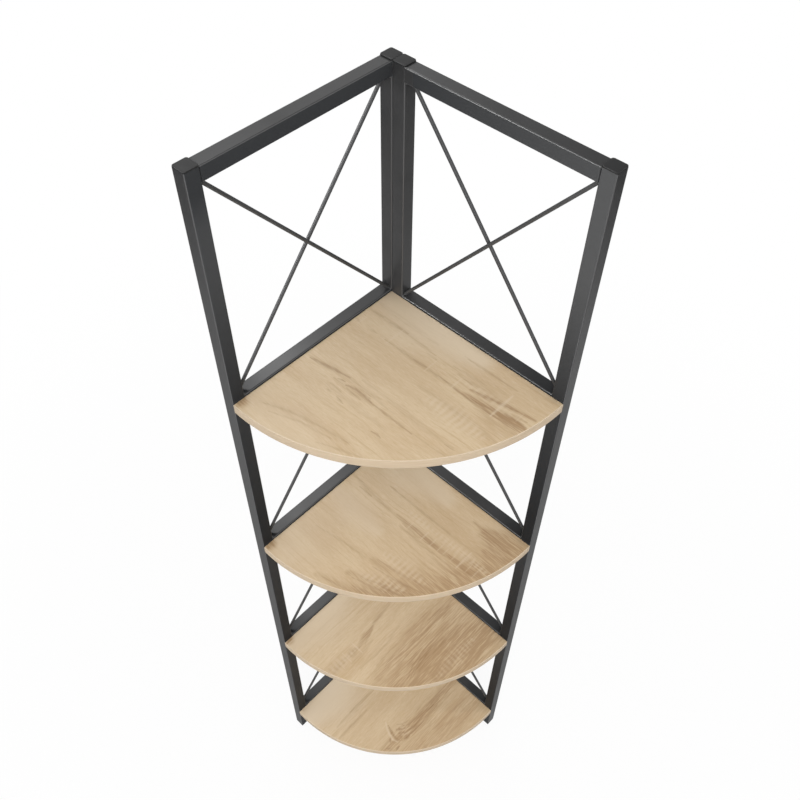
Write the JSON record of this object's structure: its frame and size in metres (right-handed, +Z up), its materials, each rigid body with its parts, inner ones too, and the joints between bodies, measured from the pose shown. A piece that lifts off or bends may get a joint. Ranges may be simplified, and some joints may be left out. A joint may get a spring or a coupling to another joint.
{
  "type": "corner shelf unit",
  "caption": "Tall corner shelf unit: cross-braced black steel tube side frames meet at the back and carry quarter-round light oak boards.",
  "frame": {"origin": "on the floor, at the middle of the footprint's bounding box", "axes": "+X along the right-hand frame from the back corner, -Y along the left-hand frame from the back corner, +Z up"},
  "size_m": [0.33, 0.3161, 1.524],
  "materials": {
    "black_powder_coat": "satin black powder coat",
    "black_plastic": "matte moulded",
    "oak_decor": "matte light oak decor on particle board",
    "oak_edging": "matte light oak edging",
    "zinc_plate": "bright zinc plate"
  },
  "bodies": {
    "root": {"left_rear_post": "black_powder_coat", "left_rear_cap": "black_plastic", "left_rear_glide": "black_plastic", "left_front_post": "black_powder_coat", "left_front_cap": "black_plastic", "left_front_glide": "black_plastic", "left_top_rail": "black_powder_coat", "left_shelf_rail_1": "black_powder_coat", "left_brace_rising_1": "black_powder_coat", "left_brace_falling_1": "black_powder_coat", "left_shelf_rail_2": "black_powder_coat", "left_brace_rising_2": "black_powder_coat", "left_brace_falling_2": "black_powder_coat", "left_shelf_rail_3": "black_powder_coat", "left_brace_rising_3": "black_powder_coat", "left_brace_falling_3": "black_powder_coat", "left_shelf_rail_4": "black_powder_coat", "left_brace_rising_4": "black_powder_coat", "left_brace_falling_4": "black_powder_coat", "right_rear_post": "black_powder_coat", "right_rear_cap": "black_plastic", "right_rear_glide": "black_plastic", "right_front_post": "black_powder_coat", "right_front_cap": "black_plastic", "right_front_glide": "black_plastic", "right_top_rail": "black_powder_coat", "right_shelf_rail_1": "black_powder_coat", "right_brace_rising_1": "black_powder_coat", "right_brace_falling_1": "black_powder_coat", "right_shelf_rail_2": "black_powder_coat", "right_brace_rising_2": "black_powder_coat", "right_brace_falling_2": "black_powder_coat", "right_shelf_rail_3": "black_powder_coat", "right_brace_rising_3": "black_powder_coat", "right_brace_falling_3": "black_powder_coat", "right_shelf_rail_4": "black_powder_coat", "right_brace_rising_4": "black_powder_coat", "right_brace_falling_4": "black_powder_coat", "shelf_board_1": "oak_decor", "shelf_edge_band_1": "oak_edging", "shelf_tabs_1": "black_powder_coat", "shelf_board_2": "oak_decor", "shelf_edge_band_2": "oak_edging", "shelf_tabs_2": "black_powder_coat", "shelf_board_3": "oak_decor", "shelf_edge_band_3": "oak_edging", "shelf_tabs_3": "black_powder_coat", "shelf_board_4": "oak_decor", "shelf_edge_band_4": "oak_edging", "shelf_tabs_4": "black_powder_coat", "frame_bolts": "zinc_plate", "frame_rivet_nuts": "zinc_plate"}
  },
  "joints": []
}
